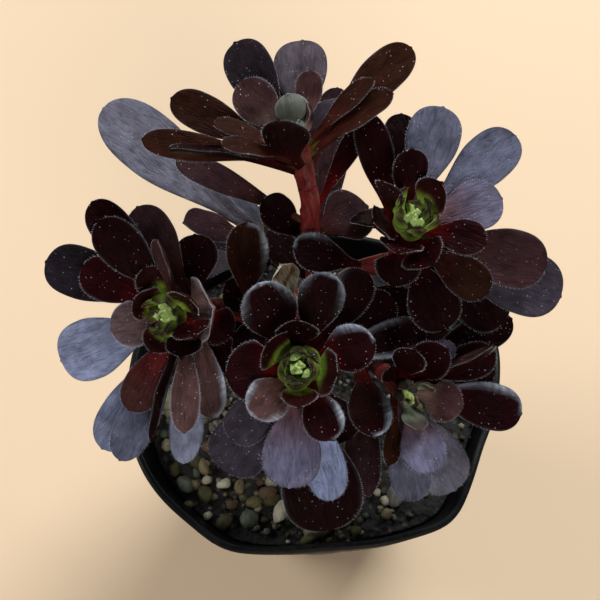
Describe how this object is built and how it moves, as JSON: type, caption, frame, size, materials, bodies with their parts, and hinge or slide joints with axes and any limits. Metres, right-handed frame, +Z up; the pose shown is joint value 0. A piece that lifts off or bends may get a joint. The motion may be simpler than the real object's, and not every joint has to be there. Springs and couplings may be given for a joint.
{
  "type": "potted aeonium",
  "caption": "Dark purple tree aeonium with several rosettes on a forked red stem, in a soft black nursery pot topped with gravel.",
  "frame": {"origin": "centre of the pot's base, on the surface that it stands on", "axes": "+Z up; the crown leans towards -Y, its front; +X to the right seen from the front"},
  "size_m": [0.105, 0.0934, 0.1418],
  "materials": {
    "pot": "soft satin black",
    "soil": "dry, crumbly",
    "stem": "smooth, a little glossy",
    "dried_leaf": "dry, papery",
    "leaf": "waxy satin",
    "heart": "waxy satin"
  },
  "bodies": {
    "root": {"pot": "pot", "soil": "soil", "stem": "stem", "dried_leaf": "dried_leaf", "leaves_centre": "leaf", "leaves_left": "leaf", "leaves_top": "leaf", "leaves_right": "leaf", "leaves_low": "leaf", "leaves_back": "leaf", "heart_centre": "heart", "heart_left": "heart", "heart_top": "heart", "heart_right": "heart", "heart_low": "heart", "heart_back": "heart"}
  },
  "joints": []
}
